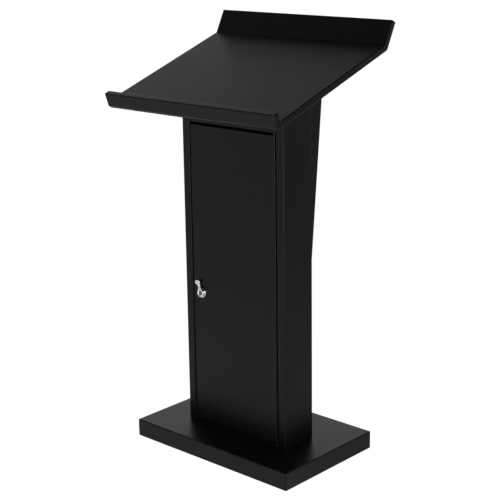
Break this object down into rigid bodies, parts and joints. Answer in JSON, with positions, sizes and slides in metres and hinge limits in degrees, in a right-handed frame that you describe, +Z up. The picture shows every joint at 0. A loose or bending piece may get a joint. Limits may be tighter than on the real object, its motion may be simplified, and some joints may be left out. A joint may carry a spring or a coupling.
{
  "type": "presentation lectern",
  "caption": "Free-standing steel lectern: wide base, narrow column with a lockable hinged door and shelves, rear brace, and a sloped reading top with a front lip and a raised screen.",
  "frame": {"origin": "on the floor under the middle of the whole lectern", "axes": "+X to the right of a speaker who faces the door, +Y away from the speaker towards the audience, +Z up"},
  "size_m": [0.6, 0.4808, 1.1824],
  "materials": {
    "powder_coat": "smooth satin black powder coat",
    "zinc_steel": "zinc-plated",
    "black_screw": "black oxide",
    "lock_chrome": "polished chrome",
    "plug_nickel": "dark nickel, lightly turned",
    "rubber": "matt",
    "nylon": "black nylon"
  },
  "bodies": {
    "stand": {"base_pan": "powder_coat", "base_bottom_plate": "powder_coat", "base_cover_screws": "zinc_steel", "rubber_feet": "rubber", "foot_screws": "zinc_steel", "base_rib_front": "powder_coat", "base_rib_column_front": "powder_coat", "base_rib_column_rear": "powder_coat", "base_rib_rear": "powder_coat", "right_side_panel": "powder_coat", "left_side_panel": "powder_coat", "rear_panel": "powder_coat", "top_rail": "powder_coat", "cabinet_floor": "powder_coat", "lower_shelf": "powder_coat", "upper_shelf": "powder_coat", "shelf_clips": "powder_coat", "column_bolts": "zinc_steel", "column_washers": "zinc_steel", "column_nuts": "zinc_steel", "top_mount_plate": "powder_coat", "reading_top": "powder_coat", "top_rib_front": "powder_coat", "top_rib_rear": "powder_coat", "top_underside_cover": "powder_coat", "top_cover_screws": "black_screw", "top_bolts": "zinc_steel", "top_nuts": "zinc_steel", "rear_brace": "powder_coat", "brace_bolts": "zinc_steel", "brace_nuts": "zinc_steel", "upper_pivot_pin": "black_screw", "lower_pivot_stud": "black_screw", "door_stops": "powder_coat", "stop_pads": "rubber"},
    "door": {"door_panel": "powder_coat", "door_stiffener": "powder_coat", "door_upper_bush": "nylon", "door_lower_bush": "nylon", "lock_body": "lock_chrome", "lock_washer": "zinc_steel", "lock_nut": "zinc_steel"},
    "lever": {"lever_handle": "lock_chrome", "lock_cam": "zinc_steel", "cam_nut": "zinc_steel"},
    "key": {"key_plug": "plug_nickel"}
  },
  "joints": [
    {"name": "door_hinge", "type": "hinge", "parent": "stand", "child": "door", "pos_m": [0.1465, -0.0659, 0.48], "axis": [0, 0, 1], "range_deg": [0, 110]},
    {"name": "lever_turn", "type": "hinge", "parent": "door", "child": "lever", "pos_m": [-0.1195, -0.0709, 0.4355], "axis": [0, -1, 0], "range_deg": [0, 90]},
    {"name": "key_turn", "type": "hinge", "parent": "lever", "child": "key", "pos_m": [-0.1195, -0.0794, 0.4355], "axis": [0, -1, 0], "range_deg": [0, 90]}
  ]
}
